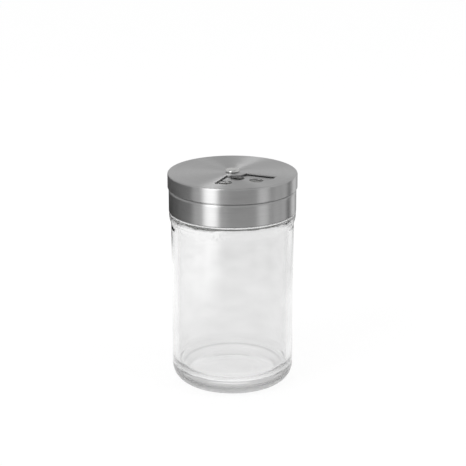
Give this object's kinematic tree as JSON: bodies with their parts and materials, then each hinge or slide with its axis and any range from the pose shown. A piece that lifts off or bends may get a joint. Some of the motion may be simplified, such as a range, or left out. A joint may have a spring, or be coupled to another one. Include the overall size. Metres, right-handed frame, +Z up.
{
  "type": "glass spice jar",
  "caption": "Round clear glass spice jar with a thick base and a screw-on brushed steel lid, whose turning dial uncovers shaker holes, fine holes or a pouring slot.",
  "frame": {"origin": "centre of the ring that the jar stands on, on the axis of the jar and lid", "axes": "+Z up along the axis; the front, from which the window is seen open towards the viewer, faces -Y; +X to the viewer's right"},
  "size_m": [0.05, 0.05, 0.0856],
  "materials": {
    "glass": "clear, smooth pressed glass",
    "liner": "soft, milky, matt",
    "insert_plastic": "moulded, satin",
    "brushed_steel": "brushed in circles round the axis",
    "bright_steel": "bright, lightly polished",
    "spring_steel": "plain rolled"
  },
  "bodies": {
    "jar": {"jar": "glass"},
    "seal": {"seal_liner": "liner"},
    "lid": {"shaker_cap": "brushed_steel", "thread_insert": "insert_plastic", "rivet": "bright_steel", "spring_washer": "spring_steel", "backing_washer": "bright_steel"},
    "dial": {"dial_cap": "brushed_steel"}
  },
  "joints": [
    {"name": "lid_rise", "type": "slide", "parent": "jar", "child": "seal", "axis": [0, 0, 1], "range_m": [0, 0.0161]},
    {"name": "lid_turn", "type": "hinge", "parent": "seal", "child": "lid", "pos_m": [0, 0, 0.08], "axis": [0, 0, 1], "range_deg": [0, 1440]},
    {"name": "dial_turn", "type": "hinge", "parent": "lid", "child": "dial", "pos_m": [0, 0, 0.084], "axis": [0, 0, 1], "continuous": true}
  ],
  "couplings": [
    {"joint": "lid_rise", "follows": "lid_turn", "m_per_rad": 0.00063662}
  ]
}
